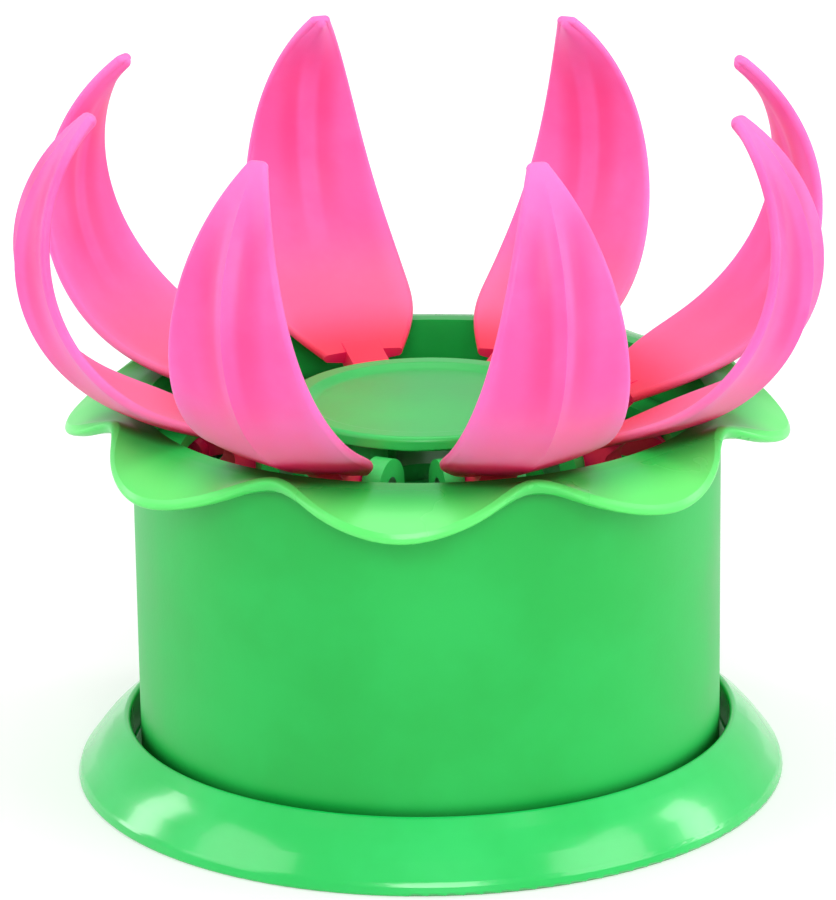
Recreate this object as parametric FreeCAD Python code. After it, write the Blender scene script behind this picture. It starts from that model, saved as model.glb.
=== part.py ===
import FreeCAD
import Part
import math
import os

# Bun mold. A foot carries a guide drum and a hub with eight hinged petals. A sleeve with a
# leaf-shaped rim slides on the drum: down, as built here, the petals lie open over the rim, and
# lifting it by the leaf tips the petals together into a closed bud over the dough plate.
# Millimetres. Z is the axis of the mold and Z = 0 is the table.

# Counts
PETALS = 8
GUIDES = 4
SCREWS = 4

# Clearances
SLIDE_GAP = 0.4       # sleeve on the drum, keys in their slots, tail bars short of the bore
ROLL_GAP = 0.2        # tail bar in its groove, above and below
PIN_GAP = 0.05        # hinge pin in a knuckle, on the radius
SIDE_GAP = 0.25       # knuckle between its ears, each side
SEAM_GAP = 0.3        # closed petal to the seam plane between two petals
REST_GAP = 0.3        # two pieces that come to lie on each other
RIM_GAP = 0.3         # keels of the open petals over the rim
FIT_GAP = 0.1         # pieces that are put together and stay so

# Sleeve and leaf rim
SLEEVE_R = 45.0       # outside of the tube
SLEEVE_WALL = 2.0
LEAF_T = 2.0
NOTCH_REACH = 4.0     # leaf edge beyond the tube at a notch, under a petal
NOTCH_LIFT = 1.4      # and above the rim
LOBE_REACH = 9.6      # leaf edge beyond the tube at the middle of a lobe
LOBE_DROP = 3.6       # and below the rim
LOBE_FULLNESS = 0.7   # under 1 the lobes are wide and the notches narrow
LEDGE_T = 2.0
KEY_W = 3.0
KEY_H = 2.0           # how far a guide key stands into the bore

# Foot and drum
BASE_WALL = 2.2
COLLAR_GAP = 1.6      # open ring between the tube and the foot
FLANGE_W = 8.4
FLANGE_H = 10.2       # at the collar
FLANGE_BULGE = 0.45   # flange out and up from a straight cone, halfway down
FLANGE_ROUND = 20.0
SHOULDER_H = 1.8      # where the flange turns down to the table
SHOULDER_ROUND = 2.0
SKIRT_DRAFT = 0.5
CHANNEL_Z = 3.0       # floor that the sleeve comes down on
SLOT_RISE = 1.5       # lower end of a guide slot above that floor
PAD_R = 22.0          # raised seat of the hub
DECK_T = 2.4

# Hub and hinges
HINGE_R = 24.0
HINGE_Z = 53.0
HUB_T = 2.6
HUB_REGISTER = 1.5    # rim of the hub that reaches down around its seat
EAR_R = 4.2
EAR_T = 3.0
EAR_FOOT = 6.0        # hinge line above the hub's disc
PIN_R = 1.5
KNUCKLE_R = 3.4
KNUCKLE_W = 6.0

# Petals, described closed
ARC_R = 28.1          # outside of a petal along its length
BUD_OFFSET = 7.0      # centre of that arc from the axis
TIP_R = 4.9           # start of the round petal tips from the axis
ROOT_OUT = 1.0        # lower end of that arc outside the hinge line
ROOT_LIFT = 9.3       # and above it
ROOT_W = 13.0
TAPER_ANGLE = 26.0    # below the equator of the bud, where a petal runs on straight and narrows
CROWN_R = 33.7        # outside of a petal across its width
PETAL_T = 2.3
EDGE_T = 1.5
EDGE_RELIEF = 0.8     # edge drawn back from the seam halfway along
KEEL_H = 1.5          # midrib on the outside
KEEL_FOOT = 0.4       # what is left of it where the petal narrows
GROOVE_D = 0.45       # hollow on both sides of the keel
BROW_H = 0.7          # raised side edges
VEIN_H = 0.6          # trough on the inside, behind the keel
OPEN_ANGLE = 45.0

# Tails that the sleeve works
TAIL_R = 2.4
TAIL_W = 10.0
TAIL_ARM_T = 2.4
LEDGE_LAP = 1.0       # ledge and ring inside the tail bar's centre
RING_T = 2.2
CRANK_ROUND = 2.0

# Dough plate and screws
PLATE_GAP = 2.5       # plate inside the hinge line
PLATE_T = 2.2
PLATE_LIP = 3.0
PLATE_DISH = 0.8
PLATE_ROUND = 2.0
SCREW_PCR = 12.0
SCREW_R = 1.45
SCREW_L = 14.0
SCREW_HEAD_R = 2.8
SCREW_HEAD_H = 2.2
SCREW_CROSS_W = 0.8
SCREW_CROSS_L = 3.2
BOSS_WALL = 1.8
PILOT_SPARE = 1.0

# Derived sizes
STEP = 360.0 / PETALS
SEAM = math.pi / PETALS
BORE_R = SLEEVE_R - SLEEVE_WALL
DRUM_R = BORE_R - SLIDE_GAP
COLLAR_R = SLEEVE_R + COLLAR_GAP
FOOT_R = COLLAR_R + FLANGE_W
HALF_OPEN = math.radians(OPEN_ANGLE / 2)
TAIL_L = BORE_R - SLIDE_GAP - TAIL_R - HINGE_R
TAIL_Z = HINGE_Z - TAIL_L * math.sin(HALF_OPEN)
GROOVE_TOP = TAIL_Z + TAIL_R + ROLL_GAP
RING_TOP = TAIL_Z - TAIL_R - ROLL_GAP
RING_Z = RING_TOP - RING_T
LEDGE_R = HINGE_R + TAIL_L * math.cos(HALF_OPEN) - LEDGE_LAP
HUB_TOP = HINGE_Z - EAR_FOOT
HUB_Z = HUB_TOP - HUB_T
DRUM_TOP = min(RING_Z, HUB_Z - HUB_REGISTER) - REST_GAP
SLEEVE_Z = CHANNEL_Z + REST_GAP
KEY_Z = CHANNEL_Z + SLOT_RISE + REST_GAP
PLATE_Z = HINGE_Z + EAR_R + REST_GAP
PLATE_R = HINGE_R - PLATE_GAP
PIN_L = KNUCKLE_W + 2 * SIDE_GAP + 2 * EAR_T

# Petal line: closed, the centre of its arc is BUD_OFFSET from the axis; open, it has turned about
# the hinge and passes over the rim
ROOT_ANGLE = -math.acos((HINGE_R + ROOT_OUT - BUD_OFFSET) / ARC_R)
TIP_ANGLE = math.acos((TIP_R - BUD_OFFSET) / ARC_R)
ARC_Z = HINGE_Z + ROOT_LIFT - ARC_R * math.sin(ROOT_ANGLE)
TAPER_START = -math.radians(TAPER_ANGLE)
SWING = math.radians(OPEN_ANGLE)
OPEN_R = HINGE_R + (BUD_OFFSET - HINGE_R) * math.cos(SWING) + (ARC_Z - HINGE_Z) * math.sin(SWING)
OPEN_Z = HINGE_Z - (BUD_OFFSET - HINGE_R) * math.sin(SWING) + (ARC_Z - HINGE_Z) * math.cos(SWING)
SHANK_LEAN = TAPER_START - SWING
SHANK_R = OPEN_R + ARC_R * math.cos(SHANK_LEAN)
SHANK_Z = OPEN_Z + ARC_R * math.sin(SHANK_LEAN)
if BORE_R > SHANK_R:
    OVER_RIM = OPEN_Z - math.sqrt(ARC_R ** 2 - (BORE_R - OPEN_R) ** 2)
else:
    OVER_RIM = SHANK_Z + (SHANK_R - BORE_R) / math.tan(SHANK_LEAN)
RIM_Z = OVER_RIM + KEEL_FOOT / math.sin(SHANK_LEAN) - RIM_GAP

ORIGIN = FreeCAD.Vector(0, 0, 0)
AXIS = FreeCAD.Vector(0, 0, 1)
ACROSS = FreeCAD.Vector(0, 1, 0)
HINGE = FreeCAD.Vector(HINGE_R, 0, HINGE_Z)


def point(x, z, y=0.0):
    return FreeCAD.Vector(x, y, z)


def outline(corners):
    """Closed wire in the XZ plane through (x, z, corner radius), with tangent arcs at the corners."""
    legs = []
    count = len(corners)
    for i in range(count):
        here = point(corners[i][0], corners[i][1])
        back = point(corners[i - 1][0], corners[i - 1][1]) - here
        ahead = point(corners[(i + 1) % count][0], corners[(i + 1) % count][1]) - here
        radius = corners[i][2]
        half = back.getAngle(ahead) / 2
        reach = radius / math.tan(half)
        back.normalize()
        ahead.normalize()
        middle = back + ahead
        if radius > 0:
            middle.normalize()
            legs.append((here + back * reach, here + middle * (radius / math.sin(half) - radius),
                         here + ahead * reach))
        else:
            legs.append((here, None, here))
    edges = []
    for i in range(count):
        start, middle, end = legs[i]
        if middle is not None:
            edges.append(Part.Arc(start, middle, end).toShape())
        edges.append(Part.LineSegment(end, legs[(i + 1) % count][0]).toShape())
    return Part.Wire(edges)


def turned(corners):
    """Solid of revolution about the axis."""
    return Part.Face(outline(corners)).revolve(ORIGIN, AXIS, 360)


def across(wire, width):
    """Wire in the XZ plane as a plate of the given width, centred on that plane."""
    return Part.Face(wire).extrude(ACROSS * width).translated(ACROSS * (-width / 2))


def bar(centre, radius, width):
    """Cylinder across the XZ plane."""
    return Part.makeCylinder(radius, width, centre - ACROSS * (width / 2), ACROSS)


def post(radius, height, x, z):
    return Part.makeCylinder(radius, height, point(x, z), AXIS)


def ring(outer, inner, z, height):
    return post(outer, height, 0, z).cut(post(inner, height, 0, z))


def link(start, start_r, end, end_r, width):
    """Tapered link whose sides are tangent to a circle at each end."""
    along = end - start
    lean = math.acos((start_r - end_r) / along.Length)
    along.normalize()
    side = along.cross(ACROSS)
    left = along * math.cos(lean) + side * math.sin(lean)
    right = along * math.cos(lean) - side * math.sin(lean)
    edges = [
        Part.LineSegment(start + left * start_r, end + left * end_r).toShape(),
        Part.Arc(end + left * end_r, end + along * end_r, end + right * end_r).toShape(),
        Part.LineSegment(end + right * end_r, start + right * start_r).toShape(),
        Part.Arc(start + right * start_r, start - along * start_r, start + left * start_r).toShape(),
    ]
    return across(Part.Wire(edges), width)


def around(shape, count, first=0.0):
    """Copies of a shape, evenly spaced about the axis."""
    return [shape.rotated(ORIGIN, AXIS, first + 360.0 * i / count) for i in range(count)]


def spline(points, closed=False):
    """Smooth edge through points; neighbouring sections share its even spacing."""
    spans = len(points) if closed else len(points) - 1
    curve = Part.BSplineCurve()
    curve.interpolate(points, PeriodicFlag=closed, Parameters=[i / spans for i in range(spans + 1)])
    return curve.toShape()


# Foot: flange, collar, channel for the sleeve, drum and deck, moulded as one open shell
def make_base():
    fall = (FLANGE_H - SHOULDER_H) / (FLANGE_W - SKIRT_DRAFT)
    roof = FLANGE_H - BASE_WALL * math.sqrt(1 + fall ** 2)
    body = turned([
        (FOOT_R, 0, 0.5),
        (FOOT_R - SKIRT_DRAFT, SHOULDER_H, SHOULDER_ROUND),
        (COLLAR_R + (FLANGE_W - SKIRT_DRAFT) / 2 + FLANGE_BULGE,
         (FLANGE_H + SHOULDER_H) / 2 + FLANGE_BULGE, FLANGE_ROUND),
        (COLLAR_R, FLANGE_H, 0.6),
        (COLLAR_R, CHANNEL_Z, 0.4),
        (DRUM_R, CHANNEL_Z, 0.4),
        (DRUM_R, DRUM_TOP, 0.6),
        (PAD_R, DRUM_TOP, 0.5),
        (PAD_R, HUB_Z, 0.4),
        (0, HUB_Z, 0),
        (0, HUB_Z - DECK_T, 0),
        (PAD_R - BASE_WALL, HUB_Z - DECK_T, 0.5),
        (PAD_R - BASE_WALL, DRUM_TOP - BASE_WALL, 0.5),
        (DRUM_R - BASE_WALL, DRUM_TOP - BASE_WALL, 1.0),
        (DRUM_R - BASE_WALL, CHANNEL_Z - BASE_WALL, 0.3),
        (COLLAR_R + BASE_WALL, CHANNEL_Z - BASE_WALL, 0.3),
        (COLLAR_R + BASE_WALL, roof - fall * BASE_WALL, 0.5),
        (COLLAR_R + roof / fall, 0, 0),
    ])
    slot_z = CHANNEL_Z + SLOT_RISE
    slot_in = DRUM_R - 1.5 * BASE_WALL
    slot_w = KEY_W + 2 * SLIDE_GAP
    slot = Part.makeBox(2 * BASE_WALL, slot_w, DRUM_TOP, point(slot_in, slot_z, -slot_w / 2))
    hole = post(SCREW_R + FIT_GAP, 2 * DECK_T, SCREW_PCR, HUB_Z - 1.5 * DECK_T)
    return body.cut(around(slot, GUIDES) + around(hole, SCREWS, 180.0 / SCREWS))


# Leaf rim: one thin sheet that leaves the tube level, lifts to a notch under each petal and
# droops to a lobe between two petals
def leaf_ring(along, offset, nose=0.0):
    points = []
    per_lobe = 6
    for i in range(PETALS * per_lobe):
        turn = 2 * math.pi * i / (PETALS * per_lobe)
        full = (0.5 + 0.5 * math.cos(PETALS * turn)) ** LOBE_FULLNESS
        inner = (BORE_R + SLEEVE_R) / 2
        reach = SLEEVE_R + NOTCH_REACH + (LOBE_REACH - NOTCH_REACH) * full - inner
        lift = NOTCH_LIFT - (NOTCH_LIFT + LOBE_DROP) * full
        slope = 2 * lift * along / reach
        steep = math.sqrt(1 + slope ** 2)
        out = inner + reach * along - offset * slope / steep + nose / steep
        up = RIM_Z - LEAF_T / 2 + lift * along ** 2 + offset / steep + nose * slope / steep
        points.append(FreeCAD.Vector(out * math.cos(turn), out * math.sin(turn), up))
    return Part.Wire(spline(points, closed=True))


def make_sleeve():
    half = LEAF_T / 2
    spread = (0.0, 0.35, 0.7, 1.0)
    top = [leaf_ring(share, half) for share in spread]
    under = [leaf_ring(share, -half) for share in spread]
    nose = leaf_ring(1.0, 0.0, half)
    skins = [Part.makeLoft(top), Part.makeLoft([top[-1], nose, under[-1]]), Part.makeLoft(under)]
    faces = [face for skin in skins for face in skin.Faces]
    leaf = Part.makeSolid(Part.makeShell(faces + [Part.Face(top[0]), Part.Face(under[0])]))
    tube = turned([
        (SLEEVE_R, SLEEVE_Z, 0.5),
        (SLEEVE_R, RIM_Z - half, 0),
        (BORE_R - half, RIM_Z - half, 0),
        (BORE_R - half, SLEEVE_Z, 0),
    ])
    bore = turned([
        (0, SLEEVE_Z - half, 0),
        (BORE_R, SLEEVE_Z - half, 0),
        (BORE_R, RIM_Z, 0),
        (BORE_R + half, RIM_Z + half, 0),
        (0, RIM_Z + half, 0),
    ])
    ledge = ring(BORE_R + half, LEDGE_R, GROOVE_TOP, LEDGE_T)
    key = Part.makeBox(KEY_H + half, KEY_W, RING_Z - KEY_Z, point(BORE_R - KEY_H, KEY_Z, -KEY_W / 2))
    return leaf.fuse(tube).cut(bore).fuse([ledge] + around(key, GUIDES)).removeSplitter()


# Ring that is passed up over the keys by its notches and turned to rest on them, under the tails
def make_ring():
    notch_w = KEY_W + 2 * SLIDE_GAP
    notch = Part.makeBox(2 * KEY_H, notch_w, 2 * RING_T,
                         point(BORE_R - KEY_H - SLIDE_GAP, RING_Z - RING_T / 2, -notch_w / 2))
    band = ring(BORE_R - FIT_GAP, LEDGE_R, RING_Z, RING_T)
    return band.cut(around(notch, GUIDES, 180.0 / GUIDES))


# Hub: disc with a pair of hinge ears for each petal
def make_hub():
    disc = ring(HINGE_R + EAR_R, SCREW_PCR / 2, HUB_Z, HUB_T)
    register = ring(PAD_R + FIT_GAP + BASE_WALL, PAD_R + FIT_GAP, HUB_Z - HUB_REGISTER,
                    HUB_REGISTER + HUB_T / 2)
    profile = Part.Wire([
        Part.LineSegment(point(HINGE_R + EAR_R, HUB_Z), point(HINGE_R + EAR_R, HINGE_Z)).toShape(),
        Part.Arc(point(HINGE_R + EAR_R, HINGE_Z), point(HINGE_R, HINGE_Z + EAR_R),
                 point(HINGE_R - EAR_R, HINGE_Z)).toShape(),
        Part.LineSegment(point(HINGE_R - EAR_R, HINGE_Z), point(HINGE_R - EAR_R, HUB_Z)).toShape(),
        Part.LineSegment(point(HINGE_R - EAR_R, HUB_Z), point(HINGE_R + EAR_R, HUB_Z)).toShape(),
    ])
    spread = KNUCKLE_W / 2 + SIDE_GAP + EAR_T / 2
    ears = []
    for side in (-1, 1):
        ears += around(across(profile, EAR_T).translated(ACROSS * (side * spread)), PETALS, STEP / 2)
    body = disc.fuse([register] + ears).removeSplitter()
    bores = around(bar(HINGE, PIN_R, 2 * PIN_L), PETALS, STEP / 2)
    hole = post(SCREW_R + FIT_GAP, 2 * HUB_T, SCREW_PCR, HUB_Z - HUB_T / 2)
    return body.cut(bores + around(hole, SCREWS, 180.0 / SCREWS))


# Petal line, closed: an arc that runs on straight to the root. Gives a point on the outside of
# the petal and the way out from there.
def petal_line(angle):
    turn = max(angle, TAPER_START)
    out = point(math.cos(turn), math.sin(turn))
    down = point(math.sin(turn), -math.cos(turn))
    return point(BUD_OFFSET, ARC_Z) + out * ARC_R + down * (ARC_R * (turn - angle)), out


# Petal blade: sections square to its line, each with a crowned outside that carries the keel
# between two grooves, a hollow inside and round edges that keep clear of the seam planes. Size is
# under 1 in the round tip.
def petal_section(angle, size=1.0):
    base, out = petal_line(angle)
    seam = base.x * math.tan(SEAM) - SEAM_GAP / math.cos(SEAM)
    lean = out.x * math.tan(SEAM)
    if angle > TIP_ANGLE:
        seam = TIP_R * math.tan(SEAM) - SEAM_GAP / math.cos(SEAM)
    half = seam - lean * (seam ** 2 / (2 * CROWN_R) + EDGE_T / 2)
    run = max(0.0, (TIP_ANGLE - angle) / (TIP_ANGLE - TAPER_START))
    swell = 0.0
    keel = KEEL_FOOT
    if run < 1:
        half -= EDGE_RELIEF * math.sin(math.pi * run) ** 2
        swell = math.sin(math.pi * run ** 0.9) ** 2
        keel = KEEL_H * swell + KEEL_FOOT * run ** 2
    else:
        narrow = ((TAPER_START - angle) / (TAPER_START - ROOT_ANGLE)) ** 2
        half += (ROOT_W / 2 - half) * narrow
    flat = half - EDGE_T / 2

    def at(share, skin):
        y = flat * share
        rise = -y ** 2 / (2 * CROWN_R)
        if skin == "outer":
            ridge = max(0.0, 1 - 2 * abs(share)) ** 2
            groove = 1 - (2 * abs(share) - 1) ** 2
            brow = max(0.0, 2 * abs(share) - 1) ** 2
            rise += keel * ridge + swell * (BROW_H * brow - GROOVE_D * groove)
        else:
            rise += (PETAL_T - EDGE_T + swell * BROW_H) * share ** 2 - PETAL_T
            rise += swell * VEIN_H * (1 - abs(share)) ** 2
        return base + out * ((rise + PETAL_T / 2) * size - PETAL_T / 2) + ACROSS * (y * size)

    outer_r = [at(s, "outer") for s in (0, 0.22, 0.48, 0.75, 1)]
    outer_l = [at(s, "outer") for s in (-1, -0.75, -0.48, -0.22, 0)]
    inner = [at(s, "inner") for s in (1, 0.6, 0.25, 0, -0.25, -0.6, -1)]
    edges = []
    for end, start, sign in ((outer_r[-1], inner[0], 1), (inner[-1], outer_l[0], -1)):
        middle = (end + start) * 0.5 + ACROSS * (sign * size * EDGE_T / 2)
        edges.append(Part.Arc(end, middle, start).toShape())
    return Part.Wire([spline(outer_l), spline(outer_r), edges[0], spline(inner), edges[1]])


# Petal: blade, round tip, neck, hinge knuckle and the tail whose round bar rides in the sleeve's
# groove
def make_petal():
    angles = [ROOT_ANGLE + (TIP_ANGLE - ROOT_ANGLE) * i / 11 for i in range(12)]
    blade = Part.makeLoft([petal_section(a) for a in angles], True, False)
    nose = PETAL_T / 2 / ARC_R
    rounds = [petal_section(TIP_ANGLE + nose * t, math.sqrt(1 - t ** 2)) for t in (0, 0.5, 0.85, 0.98)]
    tip = Part.makeLoft(rounds, True, False)
    neck_r = PETAL_T / 2 + FIT_GAP
    base, out = petal_line(ROOT_ANGLE + PETAL_T / ARC_R)
    neck_end = base - out * (PETAL_T / 2)
    tail_end = HINGE + point(math.cos(HALF_OPEN), math.sin(HALF_OPEN)) * TAIL_L
    crank = link(HINGE, KNUCKLE_R, neck_end, neck_r, KNUCKLE_W)
    crank = crank.fuse(link(HINGE, KNUCKLE_R, tail_end, TAIL_ARM_T / 2, KNUCKLE_W)).removeSplitter()
    inside = []
    for edge in crank.Edges:
        sides = crank.ancestorsOfType(edge, Part.Face)
        flat = all(isinstance(face.Surface, Part.Plane) for face in sides)
        if flat and abs(abs(edge.tangentAt(edge.FirstParameter).y) - 1) < 1e-6:
            inside.append(edge)
    crank = crank.makeFillet(CRANK_ROUND, inside)
    body = blade.fuse([tip, crank, bar(tail_end, TAIL_R, TAIL_W)]).removeSplitter()
    body = body.cut(bar(HINGE, PIN_R + PIN_GAP, 2 * KNUCKLE_W))
    return body.rotated(HINGE, ACROSS, OPEN_ANGLE)


# Dough plate: shallow dish on four screw bosses that stand on the hub
def make_plate():
    top = PLATE_Z + PLATE_T
    dish = turned([
        (0, PLATE_Z, 0),
        (PLATE_R, PLATE_Z, 0.4),
        (PLATE_R, top, 0.8),
        (PLATE_R - PLATE_LIP, top, 1.0),
        (PLATE_R - PLATE_LIP - 2 * PLATE_DISH, top - PLATE_DISH, PLATE_ROUND),
        (0, top - PLATE_DISH, 0),
    ])
    boss = post(SCREW_R + BOSS_WALL, PLATE_Z - HUB_TOP + PLATE_T / 2, SCREW_PCR, HUB_TOP)
    pilot = post(SCREW_R, HUB_Z - DECK_T + SCREW_L + PILOT_SPARE - HUB_TOP, SCREW_PCR, HUB_TOP)
    body = dish.fuse(around(boss, SCREWS, 180.0 / SCREWS)).removeSplitter()
    return body.cut(around(pilot, SCREWS, 180.0 / SCREWS))


# Screws from below: through the deck and the hub into the plate's bosses
def make_screws():
    seat = HUB_Z - DECK_T
    head = turned([
        (0, seat, 0),
        (0, seat - SCREW_HEAD_H, 0),
        (SCREW_HEAD_R, seat - SCREW_HEAD_H, 0.9),
        (SCREW_HEAD_R, seat, 0),
    ])
    depth = SCREW_HEAD_H / 2
    for length, width in ((SCREW_CROSS_L, SCREW_CROSS_W), (SCREW_CROSS_W, SCREW_CROSS_L)):
        head = head.cut(Part.makeBox(length, width, depth, point(-length / 2, seat - SCREW_HEAD_H, -width / 2)))
    shank = turned([
        (0, seat, 0),
        (SCREW_R, seat, 0),
        (SCREW_R, seat + SCREW_L - SCREW_R, 0),
        (0, seat + SCREW_L, 0),
    ])
    screw = head.fuse(shank).removeSplitter().translated(point(SCREW_PCR, 0))
    return Part.makeCompound(around(screw, SCREWS, 180.0 / SCREWS))


def save(name, shape):
    shape.exportStep(os.path.join("parts", name + ".step"))


os.makedirs("parts", exist_ok=True)
save("base", make_base())
save("sleeve", make_sleeve())
save("retaining_ring", make_ring())
save("petal_hub", make_hub())
save("dough_plate", make_plate())
save("screws", make_screws())
petals = around(make_petal(), PETALS, STEP / 2)
pins = around(bar(HINGE, PIN_R, PIN_L), PETALS, STEP / 2)
for number in range(PETALS):
    save("petal_%d" % (number + 1), petals[number])
    save("hinge_pin_%d" % (number + 1), pins[number])

lift = 2 * TAIL_L * math.sin(HALF_OPEN)
print("sleeve lift %.3f mm, petals turn %.1f degrees" % (lift, OPEN_ANGLE))
print("hinge ratio %.4f rad per m" % (SWING / lift * 1000))
print("rim at %.2f mm, tail groove at %.2f mm" % (RIM_Z, TAIL_Z))
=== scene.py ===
import math

import bmesh
import bpy
from mathutils import Matrix, Vector


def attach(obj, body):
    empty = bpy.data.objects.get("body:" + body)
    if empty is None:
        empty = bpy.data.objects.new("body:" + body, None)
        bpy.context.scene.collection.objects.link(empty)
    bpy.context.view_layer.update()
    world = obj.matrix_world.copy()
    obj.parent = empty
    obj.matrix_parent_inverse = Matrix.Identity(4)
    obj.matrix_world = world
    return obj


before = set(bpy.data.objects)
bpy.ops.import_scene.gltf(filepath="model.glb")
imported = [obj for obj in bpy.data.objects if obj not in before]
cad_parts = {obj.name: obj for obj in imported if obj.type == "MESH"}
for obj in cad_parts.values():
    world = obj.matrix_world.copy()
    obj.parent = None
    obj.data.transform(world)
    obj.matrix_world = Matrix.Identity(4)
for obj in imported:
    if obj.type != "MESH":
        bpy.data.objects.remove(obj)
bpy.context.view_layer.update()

scene = bpy.context.scene
scene.view_settings.view_transform = "Standard"

# Sizes in metres, in the CAD model's frame. A pair is where a change of colour starts and ends.
PETALS = 8
PETAL_MID_Z = 0.075                # height of a petal's widest part
PETAL_HALF_H = 0.034
PETAL_HALF_W = 0.0125
WIDTH_FLOOR = 0.03                 # least squared share of the width, so that nothing divides by zero
# Where and how strongly shade is painted into the grooves beside the petals' keel.
GROOVE_START = (0.0010, 0.0022)    # away from the keel's middle
GROOVE_END = (0.0028, 0.0062)
GROOVE_LOW_Z = (0.066, 0.083)
GROOVE_HIGH_Z = (0.094, 0.105)
GROOVE_SHADE_SHARE = 0.4
# Painted sheen along the petals' edges.
EDGE_SHEEN_SPAN = (0.66, 1.0)            # share of the petal's half width
TIP_Z = (0.099, 0.109)
# Painted warm bounce light low on the petals.
LOW_Z = (0.061, 0.078)
# Painted red shade at the petals' root.
ROOT_SHADE_Z = (0.0585, 0.0635)
# Reach of the painted shade in the petals' crevices.
PETAL_CREVICE_SHADE = 0.006

RIM_R = 0.045                      # where the tube turns into the leaf
LIP_SPAN = (RIM_R + 0.0004, RIM_R + 0.009)
SMOOTH_SPAN = (RIM_R + 0.0002, RIM_R + 0.0012)
LEAF_POLISH = 0.14                 # how much smoother the leaf is than the tube
# Reach of the painted shade in the green parts' crevices.
GREEN_CREVICE_SHADE = 0.003

TONE_SPAN = (0.35, 0.7)            # of a noise value, for colour
ROUGH_SPAN = (0.3, 0.75)           # of a noise value, for roughness
PLASTIC_IOR = 1.49

BEAD_R, BEAD_Z = 0.0472, 0.0089    # middle of the rounding of the collar's top edge
BEAD_OUT, BEAD_IN = 0.000615, 0.0004
BEAD_FROM, BEAD_TO = 44.0, 184.0   # degrees, from the flange over the top to the inner wall
BEAD_STEPS, BEAD_TURNS = 14, 240
BEAD_SHARP = 50.0

AZIMUTH = math.radians(4.3)
TILT = math.radians(17.425)
TURN = math.radians(0.106)
ROLL = math.radians(-0.8)
EYE_OUT, EYE_UP = 0.709, 0.2736
SENSOR = 36.0
FOCAL_PX, FRAME_PX = 4852.0, 900.0

FLOOR_SIZE = 8.0
FLOOR_GREY = 0.72
# The floor glows less near the foot than far away, which paints shade under and around the foot.
GLOW_AND_SHADE_STEPS = (                     # radius from, radius to, added strength
    (0.048, 0.056, 0.36),          # no glow under the foot, which paints shade there
    (0.06, 0.4, 0.26),
    (0.4, 2.5, 0.38),
)
SKY_LIGHT, SKY_WHITE = 0.42, 1.0

LAMPS = (                          # name, place, aim, size, watts
    ("key", (0.1, -0.95, 0.48), (0.0, 0.0, 0.05), (0.55, 0.4), 5.0),
    ("right", (0.8, -0.35, 0.5), (0.0, 0.0, 0.05), (0.5, 0.6), 2.7),
    ("left", (-0.8, -0.35, 0.5), (0.0, 0.0, 0.05), (0.5, 0.6), 2.0),
    ("top", (0.0, 0.1, 0.95), (0.0, 0.0, 0.06), (0.8, 0.5), 2.8),
    ("edge_left", (-0.55, 0.12, 0.2), (0.0, 0.0, 0.06), (0.12, 0.4), 0.8),
    ("edge_right", (0.55, 0.12, 0.2), (0.0, 0.0, 0.06), (0.12, 0.4), 0.9),
)


def linear(r, g, b):
    """Screen colour, 0 to 255, as the shader's linear colour."""
    out = []
    for v in (r, g, b):
        v /= 255.0
        out.append(v / 12.92 if v <= 0.04045 else ((v + 0.055) / 1.055) ** 2.4)
    return (*out, 1.0)


class Nodes:
    """A material's node tree, with short ways to add the nodes that the plastics share."""

    def __init__(self, name):
        self.mat = bpy.data.materials.new(name)
        self.mat.use_nodes = True
        self.tree = self.mat.node_tree
        self.tree.nodes.clear()
        self.out = self.add("ShaderNodeOutputMaterial")
        self.bsdf = self.add("ShaderNodeBsdfPrincipled")
        self.link(self.bsdf.outputs[0], self.out.inputs["Surface"])
        self.place = self.add("ShaderNodeTexCoord").outputs["Object"]

    def add(self, kind, **values):
        node = self.tree.nodes.new(kind)
        for key, value in values.items():
            setattr(node, key, value)
        return node

    def link(self, a, b):
        self.tree.links.new(a, b)

    def put(self, socket, value):
        if hasattr(value, "is_linked"):
            self.link(value, socket)
        else:
            socket.default_value = value

    def math(self, op, a, b=0.0):
        node = self.add("ShaderNodeMath", operation=op)
        self.put(node.inputs[0], a)
        self.put(node.inputs[1], b)
        return node.outputs[0]

    def ramp(self, value, span, start=0.0, end=1.0):
        """Smooth step from start to end while the value crosses the span."""
        node = self.add("ShaderNodeMapRange", interpolation_type="SMOOTHSTEP")
        self.put(node.inputs["Value"], value)
        for key, number in (("From Min", span[0]), ("From Max", span[1]), ("To Min", start), ("To Max", end)):
            node.inputs[key].default_value = number
        return node.outputs["Result"]

    def noise(self, scale, detail=3.0, rough=0.5):
        node = self.add("ShaderNodeTexNoise")
        self.link(self.place, node.inputs["Vector"])
        node.inputs["Scale"].default_value = scale
        node.inputs["Detail"].default_value = detail
        node.inputs["Roughness"].default_value = rough
        return node.outputs["Fac"]

    def mix(self, share, a, b):
        node = self.add("ShaderNodeMix", data_type="RGBA")
        self.put(node.inputs["Factor"], share)
        self.put(node.inputs[6], a)
        self.put(node.inputs[7], b)
        return node.outputs[2]

    def xyz(self):
        node = self.add("ShaderNodeSeparateXYZ")
        self.link(self.place, node.inputs[0])
        return node.outputs

    def radius(self):
        x, y, z = self.xyz()
        return self.math("SQRT", self.math("ADD", self.math("MULTIPLY", x, x), self.math("MULTIPLY", y, y)))

    def crevice_shade(self, colour, dark, reach, span=(0.25, 0.85)):
        """Painted shade: colour that darkens where surfaces lie close together, by ambient occlusion."""
        node = self.add("ShaderNodeAmbientOcclusion", samples=8)
        node.inputs["Distance"].default_value = reach
        return self.mix(self.ramp(node.outputs["AO"], span), dark, colour)

    def bump(self, height, distance, strength):
        node = self.add("ShaderNodeBump")
        node.inputs["Strength"].default_value = strength
        node.inputs["Distance"].default_value = distance
        self.link(height, node.inputs["Height"])
        self.link(node.outputs[0], self.bsdf.inputs["Normal"])

    def shade(self, **sockets):
        for key, value in sockets.items():
            self.put(self.bsdf.inputs[key.replace("_", " ")], value)
        return self.mat


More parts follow.
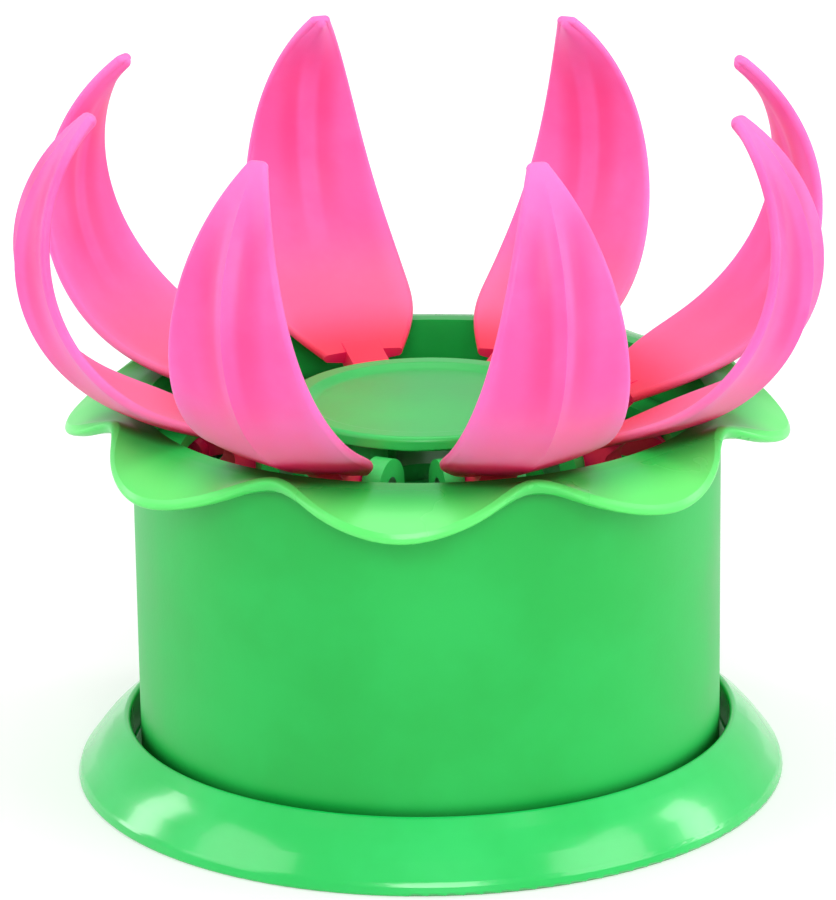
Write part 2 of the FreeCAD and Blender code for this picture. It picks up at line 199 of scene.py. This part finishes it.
def petal_pink():
    """Satin pink with painted light: painted shade in the grooves beside the keel, a painted sheen along the
    edges, paler at the tip, painted warm bounce light low down, painted red shade at the root, and painted
    shade in crevices.
    """
    n = Nodes("petal_pink")
    x, y, z = n.xyz()
    turn = n.math("ARCTAN2", y, x)
    step = 2 * math.pi / PETALS
    off = n.math("SUBTRACT", n.math("FLOORED_MODULO", turn, step), step / 2)
    side = n.math("ABSOLUTE", n.math("MULTIPLY", off, n.radius()))
    rise = n.math("DIVIDE", n.math("SUBTRACT", z, PETAL_MID_Z), PETAL_HALF_H)
    left = n.math("SUBTRACT", 1.0, n.math("MULTIPLY", rise, rise))
    width = n.math("SQRT", n.math("MAXIMUM", left, WIDTH_FLOOR))
    share = n.math("DIVIDE", side, n.math("MULTIPLY", width, PETAL_HALF_W))

    tone = n.noise(55.0, 4.0, 0.55)
    colour = n.mix(n.ramp(tone, TONE_SPAN), linear(255, 93, 174), linear(255, 109, 190))
    # Painted shade in the grooves beside the keel.
    flank_shade_mask = n.math("MULTIPLY", n.ramp(side, GROOVE_START), n.ramp(side, GROOVE_END, 1.0, 0.0))
    height = n.math("MULTIPLY", n.ramp(z, GROOVE_LOW_Z), n.ramp(z, GROOVE_HIGH_Z, 1.0, 0.0))
    groove_shade = n.math("MULTIPLY", n.math("MULTIPLY", flank_shade_mask, height), GROOVE_SHADE_SHARE)
    colour = n.mix(groove_shade, colour, linear(252, 36, 112))
    # Painted sheen: paler along the petal's edges.
    colour = n.mix(n.ramp(share, EDGE_SHEEN_SPAN, 0.0, 0.6), colour, linear(255, 126, 214))
    colour = n.mix(n.ramp(z, TIP_Z, 0.0, 0.6), colour, linear(252, 134, 214))
    # Painted warm bounce light on the petal's lower part.
    colour = n.mix(n.ramp(z, LOW_Z, 0.6, 0.0), colour, linear(255, 116, 140))
    # Painted red shade at the root, where the petal meets the leaf.
    colour = n.mix(n.ramp(z, ROOT_SHADE_Z, 0.85, 0.0), colour, linear(250, 40, 62))
    # Painted shade where surfaces lie close together.
    colour = n.crevice_shade(colour, linear(248, 24, 96), PETAL_CREVICE_SHADE, (0.55, 0.95))
    n.bump(n.noise(900.0, 2.0), 0.00002, 0.35)
    return n.shade(Base_Color=colour, Roughness=n.ramp(tone, ROUGH_SPAN, 0.42, 0.52),
                   Subsurface_Weight=0.22, Subsurface_Radius=(0.9, 0.25, 0.35), Subsurface_Scale=0.004,
                   Specular_IOR_Level=0.36, IOR=PLASTIC_IOR)


def green(name, low, high, rough, grain, coat=0.0, leaf=False, crevice_shade=True):
    """Moulded green plastic; with the crevice option on, shade is painted where surfaces lie close together.
    With leaf, it is paler and smoother outside the tube.
    """
    n = Nodes(name)
    tone = n.noise(40.0, 4.0, 0.55)
    colour = n.mix(n.ramp(tone, TONE_SPAN), low, high)
    if crevice_shade:
        # Painted shade where surfaces lie close together.
        colour = n.crevice_shade(colour, linear(0, 96, 26), GREEN_CREVICE_SHADE)
    roughness = n.ramp(tone, ROUGH_SPAN, rough - 0.05, rough + 0.06)
    height = n.noise(1500.0, 2.0, 0.6)
    if leaf:
        out = n.radius()
        colour = n.mix(n.ramp(out, LIP_SPAN), colour, linear(96, 236, 112))
        smooth = n.ramp(out, SMOOTH_SPAN)
        height = n.math("MULTIPLY", height, n.math("SUBTRACT", 1.0, smooth))
        roughness = n.math("SUBTRACT", roughness, n.math("MULTIPLY", smooth, LEAF_POLISH))
    n.bump(height, 0.00003, grain)
    return n.shade(Base_Color=colour, Roughness=roughness,
                   Subsurface_Weight=0.12, Subsurface_Radius=(0.25, 0.9, 0.3), Subsurface_Scale=0.003,
                   Coat_Weight=coat, Coat_Roughness=0.08, IOR=PLASTIC_IOR)


def steel():
    """Drawn wire and screw steel with fine grain."""
    n = Nodes("steel")
    tone = n.noise(600.0, 3.0)
    colour = n.mix(tone, linear(150, 152, 156), linear(206, 208, 210))
    n.bump(n.noise(3000.0, 2.0), 0.00001, 0.3)
    return n.shade(Base_Color=colour, Metallic=1.0, Roughness=n.ramp(tone, (0.3, 0.7), 0.26, 0.4))


def dress(names, material):
    """Give CAD nodes a material."""
    for name in names:
        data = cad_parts[name].data
        data.materials.clear()
        data.materials.append(material)


def collar_bead(material):
    """Thin smooth skin on the rounded top edge of the foot's collar, a closed ring."""
    angles = [math.radians(BEAD_FROM + (BEAD_TO - BEAD_FROM) * k / BEAD_STEPS) for k in range(BEAD_STEPS + 1)]
    line = [(BEAD_R + BEAD_OUT * math.cos(a), BEAD_Z + BEAD_OUT * math.sin(a)) for a in angles]
    line += [(BEAD_R + BEAD_IN * math.cos(a), BEAD_Z + BEAD_IN * math.sin(a)) for a in reversed(angles)]
    bm = bmesh.new()
    rings = []
    for k in range(BEAD_TURNS):
        turn = 2 * math.pi * k / BEAD_TURNS
        rings.append([bm.verts.new((r * math.cos(turn), r * math.sin(turn), z)) for r, z in line])
    for a, b in zip(rings, rings[1:] + rings[:1]):
        for i in range(len(line)):
            j = (i + 1) % len(line)
            bm.faces.new((a[i], b[i], b[j], a[j])).smooth = True
    bmesh.ops.recalc_face_normals(bm, faces=bm.faces)
    mesh = bpy.data.meshes.new("collar_bead")
    bm.to_mesh(mesh)
    bm.free()
    mesh.set_sharp_from_angle(angle=math.radians(BEAD_SHARP))
    mesh.materials.append(material)
    bead = bpy.data.objects.new("collar_bead", mesh)
    scene.collection.objects.link(bead)
    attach(bead, "foot")


def background_rays(tree):
    """Socket that is 1 for the rays that see the background as white."""
    path = tree.nodes.new("ShaderNodeLightPath").outputs
    socket = path["Is Camera Ray"]
    for name in ("Is Glossy Ray", "Is Transmission Ray"):
        node = tree.nodes.new("ShaderNodeMath")
        node.operation = "MAXIMUM"
        tree.links.new(socket, node.inputs[0])
        tree.links.new(path[name], node.inputs[1])
        socket = node.outputs[0]
    return socket


def set_camera():
    """The photograph's place: above the rim and slightly right of a lobe's middle."""
    camera = bpy.data.cameras.new("camera")
    camera.sensor_width = SENSOR
    camera.lens = FOCAL_PX / FRAME_PX * SENSOR
    camera.clip_start = 0.05
    eye = bpy.data.objects.new("camera", camera)
    scene.collection.objects.link(eye)
    eye.matrix_world = (Matrix.Rotation(AZIMUTH, 4, "Z") @ Matrix.Translation((0.0, -EYE_OUT, EYE_UP))
                        @ Matrix.Rotation(TURN, 4, "Z") @ Matrix.Rotation(math.pi / 2 - TILT, 4, "X")
                        @ Matrix.Rotation(ROLL, 4, "Z"))
    scene.camera = eye


def set_floor():
    """Pale floor that reads white to the camera and keeps the object's shadow. Its glow is lower under and near
    the foot, which paints shade there.
    """
    bpy.ops.mesh.primitive_plane_add(size=FLOOR_SIZE)
    floor = bpy.context.object
    floor.name = "floor"
    n = Nodes("floor")
    n.tree.nodes.remove(n.bsdf)
    plain = n.add("ShaderNodeBsdfDiffuse")
    plain.inputs["Color"].default_value = (FLOOR_GREY, FLOOR_GREY, FLOOR_GREY, 1.0)
    away = n.radius()
    strength = 0.0
    for start, end, added in GLOW_AND_SHADE_STEPS:
        strength = n.math("ADD", strength, n.ramp(away, (start, end), 0.0, added))
    glow = n.add("ShaderNodeEmission")
    n.link(strength, glow.inputs["Strength"])
    both = n.add("ShaderNodeAddShader")
    n.link(plain.outputs[0], both.inputs[0])
    n.link(glow.outputs[0], both.inputs[1])
    choice = n.add("ShaderNodeMixShader")
    n.link(background_rays(n.tree), choice.inputs[0])
    n.link(plain.outputs[0], choice.inputs[1])
    n.link(both.outputs[0], choice.inputs[2])
    n.link(choice.outputs[0], n.out.inputs["Surface"])
    floor.data.materials.append(n.mat)


def set_world():
    """Soft grey light, white as a background."""
    world = bpy.data.worlds.new("world")
    scene.world = world
    world.use_nodes = True
    tree = world.node_tree
    tree.nodes.clear()
    sky = tree.nodes.new("ShaderNodeBackground")
    pick = tree.nodes.new("ShaderNodeMapRange")
    tree.links.new(background_rays(tree), pick.inputs["Value"])
    pick.inputs["To Min"].default_value = SKY_LIGHT
    pick.inputs["To Max"].default_value = SKY_WHITE
    tree.links.new(pick.outputs["Result"], sky.inputs["Strength"])
    tree.links.new(sky.outputs[0], tree.nodes.new("ShaderNodeOutputWorld").inputs["Surface"])


def softbox(name, place, aim, size, watts):
    lamp = bpy.data.lights.new(name, "AREA")
    lamp.shape = "RECTANGLE"
    lamp.size, lamp.size_y = size
    lamp.energy = watts
    holder = bpy.data.objects.new(name, lamp)
    scene.collection.objects.link(holder)
    holder.location = place
    holder.rotation_euler = (Vector(aim) - Vector(place)).to_track_quat("-Z", "Y").to_euler()


numbers = range(1, PETALS + 1)
dress(["petal_%d" % k for k in numbers], petal_pink())
dress(["hinge_pin_%d" % k for k in numbers] + ["screws"], steel())
dress(["sleeve"], green("sleeve_green", linear(14, 181, 70), linear(26, 191, 81), 0.44, 0.5, leaf=True))
dress(["petal_hub", "dough_plate", "retaining_ring"],
      green("inner_green", linear(44, 196, 86), linear(58, 208, 98), 0.38, 0.4))
foot_green = green("foot_green", linear(20, 204, 90), linear(34, 214, 102), 0.22, 0.12, coat=0.4, crevice_shade=False)
dress(["base"], foot_green)
collar_bead(foot_green)

set_camera()
set_floor()
set_world()
for row in LAMPS:
    softbox(*row)
